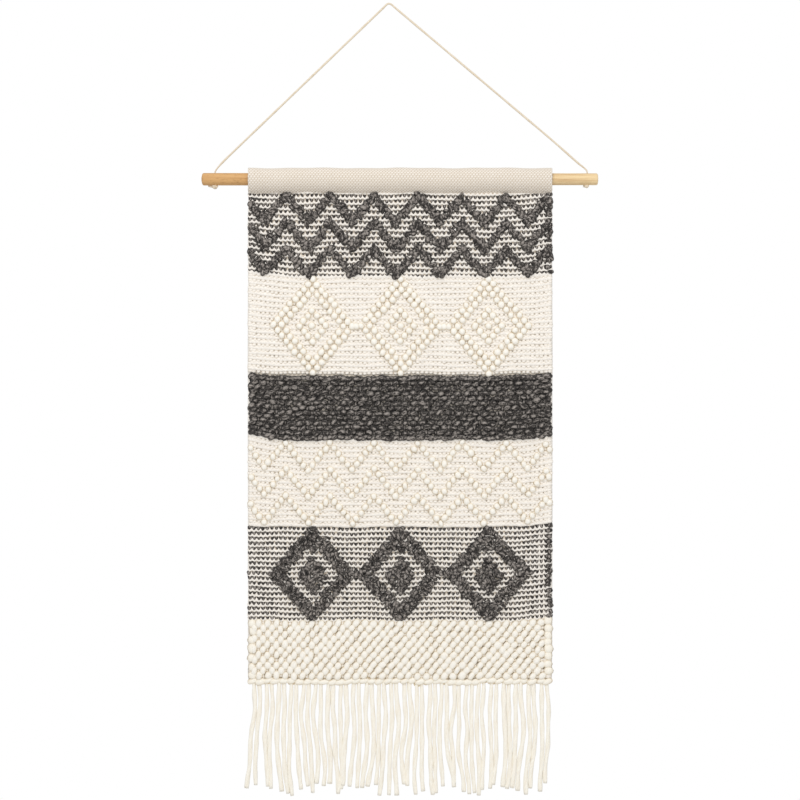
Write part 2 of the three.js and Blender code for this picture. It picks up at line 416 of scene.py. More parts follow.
def tube_mesh(steps: int, sides: int, surface: Surface) -> tuple[Mesh, Array, Array]:
    """Rolls a grid into a closed tube.

    Args:
        steps: faces along it.
        sides: faces round it.
        surface: gives the points for places along, 0 to 1, and angles round, in radians.

    Returns:
        The mesh and, for each vertex, its place along and its angle.
    """
    bm = bmesh.new()
    bmesh.ops.create_grid(bm, x_segments=steps, y_segments=sides, size=0.5)
    along_layer = bm.verts.layers.float.new("along")
    angle_layer = bm.verts.layers.float.new("angle")
    verts = list(bm.verts)
    flat = np.array([v.co[:2] for v in verts]) + 0.5
    along, angle = flat[:, 0], flat[:, 1] * FULL_TURN
    points = surface(along, angle)
    for vertex, point, a, r in zip(verts, points, along, angle):
        vertex.co = point
        vertex[along_layer] = a
        vertex[angle_layer] = r
    bmesh.ops.remove_doubles(bm, verts=bm.verts, dist=2e-6)
    bmesh.ops.holes_fill(bm, edges=[e for e in bm.edges if e.is_boundary], sides=sides + 1)
    bmesh.ops.recalc_face_normals(bm, faces=bm.faces)
    mesh = mesh_of(bm)
    found = []
    for layer in ("along", "angle"):
        values = np.empty(len(mesh.vertices), np.float32)
        mesh.attributes[layer].data.foreach_get("value", values)
        found.append(values.astype(float))
        mesh.attributes.remove(mesh.attributes[layer])
    return mesh, found[0], found[1]


def side_of(angle: Array, sides: int) -> Array:
    """Finds which of a tube's sides each angle belongs to."""
    return np.rint(angle / FULL_TURN * sides).astype(int) % sides


def directions(points: Array) -> Array:
    """Gives the unit tangents of a line of points."""
    tangents = np.gradient(points, axis=0)
    return tangents / np.linalg.norm(tangents, axis=1)[:, None]


def mirrored(mesh: Mesh, middle: float) -> None:
    """Turns a mesh made for the front of the cloth over to its back, about a depth."""
    points = places_of(mesh)
    points[:, 1] = 2 * middle - points[:, 1]
    move_to(mesh, points)
    mesh.flip_normals()


def joined(meshes: Sequence[Mesh]) -> Mesh:
    """Joins meshes that carry the same attributes into one.

    Args:
        meshes: the meshes, which are removed.

    Returns:
        The joined mesh.
    """
    bm = bmesh.new()
    for mesh in meshes:
        bm.from_mesh(mesh)
    whole = mesh_of(bm)
    for mesh in meshes:
        bpy.data.meshes.remove(mesh)
    return whole


@dataclass(frozen=True)
class Route:
    """A smooth line through points, with a frame that doesn't twist."""

    points: Array

    @staticmethod
    def through(corners: Sequence[Sequence[float]], steps: int) -> "Route":
        """Runs a smooth line through corner points.

        Args:
            corners: the points it passes through.
            steps: how many even steps it is cut into.

        Returns:
            The route.
        """
        knots = [Vector(c) for c in corners]
        knots = [2 * knots[0] - knots[1]] + knots + [2 * knots[-1] - knots[-2]]
        fine = []
        for a, b, c, d in zip(knots, knots[1:], knots[2:], knots[3:]):
            start = (c - a) * 0.5 * min(1.0, (c - b).length / max((b - a).length, 1e-9) * 0.9)
            end = (d - b) * 0.5 * min(1.0, (c - b).length / max((d - c).length, 1e-9) * 0.9)
            for i in range(40):
                t = i / 40
                t2, t3 = t * t, t * t * t
                fine.append(b * (2 * t3 - 3 * t2 + 1) + start * (t3 - 2 * t2 + t)
                            + c * (3 * t2 - 2 * t3) + end * (t3 - t2))
        fine.append(knots[-2])
        line = np.array([tuple(p) for p in fine])
        lengths = np.concatenate([[0], np.cumsum(np.linalg.norm(np.diff(line, axis=0), axis=1))])
        even = np.linspace(0, lengths[-1], steps + 1)
        return Route(np.stack([np.interp(even, lengths, line[:, i]) for i in range(3)], axis=1))

    @property
    def length(self) -> float:
        """The route's length in metres."""
        return float(np.linalg.norm(np.diff(self.points, axis=0), axis=1).sum())

    def frames(self) -> tuple[Array, Array]:
        """Gives two directions across the route at each point."""
        tangents = directions(self.points)
        side = np.cross(tangents[0], [0.0, 1.0, 0.0])
        if np.linalg.norm(side) < 0.1:
            side = np.cross(tangents[0], [1.0, 0.0, 0.0])
        first = []
        for tangent in tangents:
            side = side - tangent * side.dot(tangent)
            side = side / np.linalg.norm(side)
            first.append(side)
        return np.array(first), np.cross(tangents, first)

    def surface(self, radius: Callable[[Array, Array], Array]) -> Surface:
        """Gives a tube's surface round the route.

        Args:
            radius: gives the radius for places along, 0 to 1, and angles round.

        Returns:
            A function for tube_mesh.
        """
        first, second = self.frames()
        steps = len(self.points) - 1

        def at(along: Array, angle: Array) -> Array:
            """Finds the points of the tube."""
            ring = np.clip(np.rint(along * steps).astype(int), 0, steps)
            reach = radius(along, angle)[:, None]
            return (self.points[ring] + first[ring] * reach * np.cos(angle)[:, None]
                    + second[ring] * reach * np.sin(angle)[:, None])

        return at


# The cloth's lattice

class Motif(Enum):
    """The patterns that the raised loops make."""

    ZIGZAG = "zigzag"
    DIAMOND = "diamond"
    SOLID = "solid"


@dataclass(frozen=True)
class Cloth:
    """The panel's columns, and how far its rows rise towards the sides."""

    left: float = -0.2112
    width: float = 0.457
    columns: int = 69
    front: float = 0.0
    back: float = 0.0044
    centres: tuple[int, ...] = (14, 34, 54)                         # of the diamonds
    peaks: tuple[int, ...] = (-2, 8, 18, 28, 38, 48, 58, 68)        # of the zigzags
    heights: tuple[float, ...] = (-1.013, -0.9222, -0.7845, -0.6554, -0.5576, -0.4086, -0.2834)
    left_lift: tuple[float, ...] = (0.0, 0.0006, 0.0023, 0.0090, 0.0038, 0.0078, 0.0024)
    right_lift: tuple[float, ...] = (0.0, 0.0039, 0.0063, 0.0075, 0.0030, 0.0053, 0.0075)
    lift_reach: float = 0.090

    @property
    def pitch(self) -> float:
        """The width of one column."""
        return self.width / self.columns

    @property
    def middle(self) -> float:
        """The middle of the cloth."""
        return self.left + self.width / 2

    def column(self, number: Array | float) -> Array | float:
        """Gives the middle of a column."""
        return self.left + (number + 0.5) * self.pitch

    def inset(self, along: Array) -> Array:
        """Gives 1 on the cloth and less on its outermost columns, 0 at its sides."""
        return np.clip(np.minimum(along, 1 - along) * self.columns, 0, 1)

    def bowed(self, x: Array, z: Array) -> Array:
        """Lifts rows towards the sides, as the loom's beat leaves them.

        Args:
            x, z: places on a straight lattice.

        Returns:
            The heights on the cloth.
        """
        near_left = np.clip(1 - (x - self.left) / self.lift_reach, 0, 1.1) ** 2
        near_right = np.clip(1 - (self.left + self.width - x) / self.lift_reach, 0, 1.1) ** 2
        ripple = 0.0006 * np.sin(x * 41 + z * 23) + 0.0004 * np.sin(x * 97 - z * 61)
        fade = np.interp(z, self.heights[-2:], (0.0, 1.0))
        return (z + ripple - (0.010 * x + 0.004 * np.abs(x)) * fade
                + near_left * np.interp(z, self.heights, self.left_lift)
                + near_right * np.interp(z, self.heights, self.right_lift))

    def wander(self, x: Array, z: Array) -> Array:
        """Lets the side edges wander in and out a little.

        Args:
            x, z: places on the cloth.

        Returns:
            The places across, moved.
        """
        off = (x - self.middle) / (self.width / 2)
        waves = 0.0007 * np.sin(z * 150 + 2 * np.sin(z * 31)) + 0.0005 * np.sin(z * 390 + 1.3)
        return x + waves * np.sign(off) * np.clip(np.abs(off) * 6 - 5, 0, 1.1)


CLOTH = Cloth()


@dataclass(frozen=True)
class Loop:
    """The size and lie of one raised loop or flat stitch, in metres and radians."""

    width: float
    height: float
    depth: float
    turn: float = 0.0           # how far its length leans to the right
    spread: float = 0.1         # how much sizes and places differ
    twist: float = 0.2          # how much its lean differs
    point: float = 0.0          # how much its lower end narrows
    strands: int = 1            # how many lie side by side in one loop
    segments: int = 8
    rings: int = 6

    def made(self, places: Array, rng: Random, lean: Array | float = 0.0,
             size: Array | float = 1.0, base: float = CLOTH.front - 0.0014) -> Mesh:
        """Makes one puffy lump of yarn at each place.

        Args:
            places: columns of x and z on the straight lattice.
            rng: where the differences come from.
            lean: how far each one leans, besides its own turn.
            size: how large each one is.
            base: where the cloth that they stand on is.

        Returns:
            The mesh, with what a yarn's finish reads.
        """
        template = bmesh.new()
        bmesh.ops.create_uvsphere(template, u_segments=self.segments, v_segments=self.rings,
                                  radius=1.0)
        template.verts.ensure_lookup_table()
        unit = np.array([v.co[:] for v in template.verts])
        count, corners = len(places), len(unit)
        mesh, order = copies(template, count)
        round_the_yarn = np.arctan2(unit[:, 1], unit[:, 0])
        reach = np.hypot(unit[:, 0], unit[:, 1]) ** 0.82
        across = reach * np.cos(round_the_yarn)
        out = -reach * np.sin(round_the_yarn)
        out = np.where(out < 0, out * 0.35, out)
        along = np.sign(unit[:, 2]) * np.abs(unit[:, 2]) ** 0.9
        narrow = 1 - self.point * np.clip(0.35 - along, 0, 1.35) / 1.35
        vary = 1 + rng.normal(0, self.spread, (4, count, 1)).clip(-0.25, 0.25)
        size, lean = (np.broadcast_to(np.asarray(part, float).reshape(-1, 1), (count, 1))
                      for part in (size, lean))
        phase = rng.uniform(0, 6.3, (count, 1))
        ripples = 1 + 0.07 * np.sin(3 * round_the_yarn + 4 * along + phase)
        half_wide = self.width / (2 if self.strands == 1 else 3.3) * vary[0] * size
        half_high = self.height / 2 * vary[1] * size
        local_x = across * narrow * half_wide * ripples
        local_z = along * half_high
        local_y = out * self.depth * vary[2] * (1 - 0.18 * along ** 2) * ripples
        turn = lean + self.turn + rng.normal(0, self.twist, (count, 1))
        inside = CLOTH.width / 2 - np.hypot(half_wide * np.cos(turn), half_high * np.sin(turn))
        across_cloth = np.clip(places[:, :1], CLOTH.middle - inside, CLOTH.middle + inside)
        height = places[:, 1:]
        shift = rng.normal(0, 0.0007, (count, 2)) * self.spread / 0.1
        x = across_cloth + shift[:, :1] + local_x * np.cos(turn) + local_z * np.sin(turn)
        z = height + shift[:, 1:] - local_x * np.sin(turn) + local_z * np.cos(turn)
        lifted = CLOTH.bowed(across_cloth, height) - height
        moved = CLOTH.wander(across_cloth, height) - across_cloth
        points = np.stack([x + moved, base - local_y, z + lifted], axis=2)
        move_to(mesh, points.reshape(-1, 3)[order])
        own = rng.uniform(0, 40, (count, 1))
        yarn = np.stack([local_z + own, round_the_yarn * half_wide, out * self.depth + own * 0.37],
                        axis=2)
        tone = np.repeat(rng.beta(2.2, 2.2, count), corners)
        # Painted shade: each lump darkens towards its rim and its back, where it meets the cloth, and
        # is lightest at its front.
        low = np.broadcast_to(1 - np.clip(out, 0, 1), (count, corners))
        carry(mesh, yarn.reshape(-1, 3)[order], tone[order], low.ravel()[order])
        return mesh


@dataclass(frozen=True)
class Band:
    """One band of the cloth: its rows, and the loops that stand on them."""

    name: str
    top: float
    bottom: float
    first_row: float
    pitch: float
    rows: int
    motif: Motif
    yarn: str
    loop: Loop
    stitch: Loop
    set_off: float = 0.0        # how far loops sit to the right of their columns
    extra_ribs: tuple[float, ...] = ()

    @property
    def body(self) -> str | Bend:
        """The body that the band rides on; the top band passes the bend under the sleeve."""
        return PANEL_BEND if self.top > -0.3 else "panel"

    def row(self, number: Array | float) -> Array | float:
        """Gives the height of a row."""
        return self.first_row - number * self.pitch

    def zigzag(self, start: int) -> list[Cell]:
        """Lists the columns and rows of one zigzag.

        Args:
            start: the row of its peaks.

        Returns:
            Pairs of a column and a row.
        """
        low = {c: max(min(abs(c - p) for p in CLOTH.peaks), c - CLOTH.columns + 3)
               for c in range(CLOTH.columns)}
        filled = [(c, start + 4) for c in low if low[c] == 5 and self.yarn == "charcoal"]
        return [(c, start + low[c]) for c in low] + filled

    def ring(self, centre: int, radius: int) -> list[Cell]:
        """Lists the columns and rows of one diamond-shaped ring round a column."""
        middle = self.rows // 2
        places = {(centre + c, middle + s * (radius - abs(c)))
                  for c in range(-radius, radius + 1) for s in (-1, 1)}
        return sorted(places)

    def solid(self) -> list[Cell]:
        """Lists every second column, in turns, of all rows; dark outer rows are close set."""
        close = {0, self.rows - 1} if self.yarn == "charcoal" else set()
        return [(c, r) for r in range(self.rows)
                for c in range(0 if r in close else r % 2, CLOTH.columns, 1 if r in close else 2)]

    def placed(self, cells: Cells) -> Array:
        """Turns columns and rows into places on the straight lattice."""
        cells = np.array(cells, float)
        return np.stack([CLOTH.column(cells[:, 0]), self.row(cells[:, 1])], axis=1)


DARK_STITCH = Loop(0.0064, 0.0058, 0.0018, spread=0.08, twist=0.08, point=0.5, segments=6, rings=5)
PALE_STITCH = Loop(0.0076, 0.0046, 0.0015, spread=0.05, twist=0.05, point=0.1, segments=6, rings=4)

BANDS = (
    Band("charcoal_zigzags", -0.2834, -0.4086, -0.2870, 0.00795, 16, Motif.ZIGZAG, "charcoal",
         Loop(0.0134, 0.0100, 0.0054, spread=0.16, twist=0.9, strands=3), DARK_STITCH, 0.0022,
         (-0.48,)),
    Band("cream_diamonds", -0.4086, -0.5576, -0.4117, 0.00785, 19, Motif.DIAMOND, "cream",
         Loop(0.0110, 0.0105, 0.0048, spread=0.07, twist=0.35), PALE_STITCH, 0.0018, (-0.40,)),
    Band("charcoal_loops", -0.5576, -0.6554, -0.5610, 0.0074, 13, Motif.SOLID, "charcoal",
         Loop(0.0082, 0.0118, 0.0056, turn=math.pi / 2 - 0.2, spread=0.10, twist=0.26),
         DARK_STITCH),
    Band("cream_zigzags", -0.6554, -0.7845, -0.6578, 0.00797, 16, Motif.ZIGZAG, "cream",
         Loop(0.0102, 0.0108, 0.0048, spread=0.08, twist=0.35), PALE_STITCH, 0.0014, (-0.42, 15.5)),
    Band("charcoal_diamonds", -0.7845, -0.9222, -0.7861, 0.00749, 19, Motif.DIAMOND, "charcoal",
         Loop(0.0114, 0.0090, 0.0054, spread=0.16, twist=0.9, strands=3), DARK_STITCH, 0.0014,
         (18.40,)),
    Band("cream_loops", -0.9222, -1.0131, -0.9288, 0.00780, 11, Motif.SOLID, "cream",
         Loop(0.0112, 0.0138, 0.0038, spread=0.07, twist=0.14), PALE_STITCH),
)


# The pieces

@dataclass
class HangingCord:
    """The twisted cotton cord over the nail, and the knots that hold it under the dowel."""

    shop: Workshop
    diameter: float = 0.003
    lay: float = 0.0085             # how far a ply runs in one turn
    hole_foot: float = -0.2713
    corners: tuple[tuple[float, float], ...] = (
        (-0.2600, -0.2700), (-0.2600, -0.2600), (-0.2600, -0.2507), (-0.2586, -0.2478),
        (-0.2562, -0.2446), (-0.2526, -0.2404), (-0.2456, -0.2331), (-0.2050, -0.1941),
        (-0.1600, -0.1509), (-0.1150, -0.1077), (-0.0700, -0.0645), (-0.0300, -0.0261),
        (-0.0130, -0.0098), (-0.0076, -0.0047), (-0.0040, -0.0009), (0.0, 0.0015),
        (0.0042, 0.0001), (0.0086, -0.0037), (0.0160, -0.0099), (0.0500, -0.0386),
        (0.1000, -0.0808), (0.1500, -0.1230), (0.2000, -0.1652), (0.2450, -0.2032),
        (0.2789, -0.2331), (0.2862, -0.2394), (0.2920, -0.2439), (0.2963, -0.2478),
        (0.2978, -0.2507), (0.2978, -0.2600), (0.2978, -0.2700))

    def twisted(self, route: Route, taper: bool = False) -> Mesh:
        """Makes a three-ply twisted tube along a route.

        Args:
            route: where it runs.
            taper: whether it is drawn thin towards its ends, to pass the holes.

        Returns:
            The mesh, with what a yarn's finish reads.
        """
        length = route.length

        def ply(along: Array, angle: Array) -> Array:
            """Gives the turn round the plies, half a turn for each."""
            return 1.5 * (angle - along * length / self.lay * FULL_TURN)

        def radius(along: Array, angle: Array) -> Array:
            """Gives the radius of the three plies."""
            swell = 1 + 0.05 * np.sin(along * length * 61) + 0.04 * np.sin(along * length * 173 + 1)
            if taper:
                reach = np.minimum(along, 1 - along) * length
                swell = swell * (0.72 + 0.28 * np.clip((reach - 0.026) / 0.014, 0, 1))
            return self.diameter / 2 * swell * (0.92 + 0.17 * np.abs(np.cos(ply(along, angle))))

        mesh, along, angle = tube_mesh(len(route.points) - 1, PLY_SIDES, route.surface(radius))
        turned = ply(along, angle)
        yarn = np.stack([along * length, turned * self.diameter / 3, np.zeros_like(along)], axis=1)
        tone = 0.5 + 0.25 * np.sin(along * length * 37) + 0.2 * np.sin(along * length * 141)
        # Painted shade in the grooves between the plies.
        carry(mesh, yarn, tone, (1 - np.abs(np.cos(turned))) ** 2)
        return mesh

    def knot(self, name: str, side: float, width: float, height: float,
             tail: Sequence[tuple[float, float, float]]) -> Piece:
        """Ties a small overhand knot under a hole.

        Args:
            name: the knot's name.
            side: where the hole is across.
            width, height: the knot's size without its tail.
            tail: the steps from the knot to the cord's cut end.

        Returns:
            The knot.
        """
        reach = self.diameter * 0.5
        turns = np.linspace(0.35, FULL_TURN - 0.35, 30)
        loop = np.stack([
            (np.sin(turns) + 2 * np.sin(2 * turns)) / 3 * (width / 2 - reach),
            -np.sin(3 * turns) * 0.0022,
            (np.cos(turns) - 2 * np.cos(2 * turns)) / 3 * (height / 2 - reach)], axis=1)
        centre = np.array([side, 0.0, self.hole_foot - height / 2 + 0.0012])
        stem = np.array([[side, 0.0, self.hole_foot + 0.004]])
        end = centre + loop[-1] + np.cumsum(np.array(tail), axis=0)
        route = Route.through(np.concatenate([stem, centre + loop, end]), 110)
        return self.shop.piece(name, self.twisted(route), "cord", "dowel", "cotton_cord")

    def build(self) -> None:
        route = Route.through([(x, 0.0, z) for x, z in self.corners], 1080)
        run = self.shop.piece("cord_run", self.twisted(route, taper=True), "cord", DOWEL_BEND,
                              "cotton_cord")
        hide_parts("hanging_cord")
        left = self.knot("cord_tie_left", -0.2605, 0.0104, 0.0068,
                         [(-0.0026, -0.001, 0.0010), (-0.0028, 0.0002, 0.0006),
                          (-0.0026, 0.0004, 0.0006)])
        right = self.knot("cord_tie_right", 0.2968, 0.0080, 0.0052,
                          [(-0.0016, -0.0008, 0.0006), (-0.0020, 0.0, 0.0002)])
        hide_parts("cord_knot_left")
        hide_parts("cord_knot_right")


@dataclass
class Dowel:
    """The sanded dowel with its two drilled holes."""

    shop: Workshop
    left: float = -0.280
    right: float = 0.314
    height: float = -0.262
    radius: float = 0.0093
    far_radius: float = 0.0088
    holes: tuple[float, float] = (-0.260, 0.2978)
    hole_radius: float = 0.0023

    def radius_at(self, x: float) -> float:
        """Gives the radius, which shrinks a little to the right."""
        part = (x - self.left) / (self.right - self.left)
        return self.radius + (self.far_radius - self.radius) * part

    def build(self) -> None:
        """Turns the dowel with rounded ends and drills it."""
        bm = bmesh.new()
        rounding = [(0.0, 0.0), (0.0, 0.40), (0.0002, 0.62), (0.0006, 0.80), (0.0013, 0.92),
                    (0.0024, 0.985), (0.0040, 1.0)]
        profile = [(self.left - 0.0006 * (1 - r), r) if a == 0 else (self.left + a, r)
                   for a, r in rounding]
        steps = 60
        profile += [(self.left + 0.008 + (self.right - self.left - 0.016) * i / steps, 1.0)
                    for i in range(steps + 1)]
        profile += [(self.right - a * 0.8, r) for a, r in reversed(rounding)]
        verts = [bm.verts.new((x, 0.0, self.height + r * self.radius_at(x))) for x, r in profile]
        edges = [bm.edges.new(pair) for pair in zip(verts, verts[1:])]
        bmesh.ops.spin(bm, geom=verts + edges, cent=(0.0, 0.0, self.height), axis=(1.0, 0.0, 0.0),
                       angle=FULL_TURN, steps=64)
        bmesh.ops.remove_doubles(bm, verts=bm.verts, dist=1e-5)
        bmesh.ops.recalc_face_normals(bm, faces=bm.faces)
        rod = self.shop.piece("dowel_rod", mesh_of(bm), "dowel", "dowel", "dowel_wood")
        for side in self.holes:
            drill = bmesh.new()
            bmesh.ops.create_cone(drill, cap_ends=True, segments=24, radius1=self.hole_radius,
                                  radius2=self.hole_radius, depth=0.04,
                                  matrix=Matrix.Translation((side, 0.0, self.height)))
            self.drilled(rod, drill)
        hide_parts("dowel")

    def drilled(self, rod: Piece, drill: bmesh.types.BMesh) -> None:
        """Cuts a drill's shape out of the rod."""
        cutter = linked("drill", mesh_of(drill))
        cut = rod.modifiers.new("hole", "BOOLEAN")
        cut.operation = "DIFFERENCE"
        cut.solver = "EXACT"
        cut.object = cutter
        bpy.context.view_layer.update()
        graph = bpy.context.evaluated_depsgraph_get()
        result = bpy.data.meshes.new_from_object(rod.evaluated_get(graph))
        rod.modifiers.remove(cut)
        spent = (rod.data, cutter.data)
        rod.data = result
        bpy.data.objects.remove(cutter)
        for mesh in spent:
            bpy.data.meshes.remove(mesh)
        rod.data.set_sharp_from_angle(angle=math.radians(40))


@dataclass
class Sleeve:
    """The cloth's plain-woven end, rolled twice round the dowel and sewn down behind."""

    shop: Workshop
    height: float = -0.262
    weave_width: float = CLOTH.width / 95
    weave_height: float = 0.0027
    relief: float = 0.0004
    across: int = 380
    face_steps: int = 155
    back_steps: int = 60
    seam_height: float = -0.2795
    outer: tuple[tuple[float, float], ...] = (
        (1.9, -23.2), (0.9, -21.4), (-1.6, -19.0), (-6.2, -15.2), (-10.6, -9.4), (-13.3, -1.5),
        (-12.4, 7.2), (-7.4, 12.9), (0.0, 15.1), (7.4, 12.9), (12.4, 7.2), (13.5, -1.0),
        (12.2, -8.8), (9.4, -14.0), (7.2, -17.2))
    inner: tuple[tuple[float, float], ...] = (
        (5.0, -18.0), (2.6, -15.4), (-3.2, -11.6), (-8.6, -7.6), (-10.7, -0.8), (-8.6, 7.2),
        (0.0, 11.1), (8.6, 7.2), (10.7, -0.8), (8.4, -7.4), (4.8, -11.0))

    def build(self) -> None:
        """Rolls the sleeve, weaves its surface and sews its seam."""
        line = Route.through([(0.0, y * MM, z * MM) for y, z in self.outer + self.inner], 320)
        middle = line.points[:, 1:]
        lengths = np.linspace(0, line.length, len(middle))
        tangents = directions(middle)
        outward = np.stack([tangents[:, 1], -tangents[:, 0]], axis=1)
        if outward[60].dot(middle[60]) < 0:
            outward = -outward
        half = 0.0014 + 0.0005 * np.clip(middle[:, 1] / 0.015, 0, 1)
        visible = (self.face_steps - 1) * self.weave_height / 4
        outer_s = np.concatenate([
            np.linspace(0, visible, self.face_steps),
            np.linspace(visible, line.length, self.back_steps // 2 + 1)[1:]])
        loop_s = np.concatenate([outer_s, np.linspace(line.length, 0, self.back_steps)])
        face = np.where(np.arange(len(loop_s)) < len(outer_s), 1.0, -1.0)
        sides = len(loop_s)

        def at(along: Array, angle: Array) -> Array:
            """Finds the points of the sheet."""
            place = side_of(angle, sides)
            s = loop_s[place]
            centre, way = (np.stack([np.interp(s, lengths, part[:, i]) for i in range(2)], axis=1)
                           for part in (middle, outward))
            x = along * CLOTH.width
            lift = (self.weave(x, s) - 0.75) * self.relief
            slack = 0.0004 * np.sin(x * 47 + s * 60) + 0.0003 * np.sin(x * 113 + 1)
            out = face[place] * (np.interp(s, lengths, half) + lift) + slack
            spot = centre + way * out[:, None]
            x = (CLOTH.middle + (x - CLOTH.width / 2) * 0.9945
                 + (along - 0.5) * 0.0008 * np.sin(s * 170))
            return np.stack([x, spot[:, 0], self.height + spot[:, 1]], axis=1)

        mesh, along, angle = tube_mesh(self.across, sides, at)
        x, s = along * CLOTH.width, loop_s[side_of(angle, sides)]
        tone = 0.5 + 0.25 * np.sin(s * 900 + 3 * np.sin(along * 9))
        # Painted shade in the low places of the weave.
        carry(mesh, np.stack([x, s, np.zeros_like(x)], axis=1), tone, (1 - self.weave(x, s)) ** 0.8)
        cloth = self.shop.piece("sleeve_roll", mesh, "sleeve", "sleeve", "sleeve_cloth")
        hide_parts("rod_sleeve")
        seam = self.seam()
        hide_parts("sleeve_seam")

    def weave(self, x: Array, s: Array) -> Array:
        """Gives the height of the plain weave, 0 to 1, at a place across and along."""
        rows = s / self.weave_height
        row = np.floor(rows)
        across = x / self.weave_width + 0.5 * (row % 2)
        hump = 1 - np.abs(2 * (across % 1) - 1) ** 2.6
        ridge = 1 - np.abs(2 * (rows % 1) - 1) ** 2.4
        return (hump * 0.75 + 0.25) * (ridge * 0.4 + 0.6)

    def seam(self) -> Piece:
        """Sews a running stitch along the back of the sleeve."""
        count, inset = 50, 0.010
        xs = np.linspace(CLOTH.left + inset, CLOTH.left + CLOTH.width - inset, count)
        places = np.stack([xs, np.full(count, self.seam_height)], axis=1)
        stitch = Loop(0.0018, 0.0066, 0.00128, turn=math.pi / 2 - 0.15, spread=0.04, twist=0.05,
                      segments=8, rings=8)
        mesh = stitch.made(places, dice(0), base=0.0)
        points = places_of(mesh)
        points[:, 1] = 0.0101 - points[:, 1] + (self.seam_height - points[:, 2]) * -0.35
        move_to(mesh, points)
        mesh.flip_normals()
        return self.shop.piece("sleeve_stitching", mesh, "cream", "sleeve", "cream_yarn")


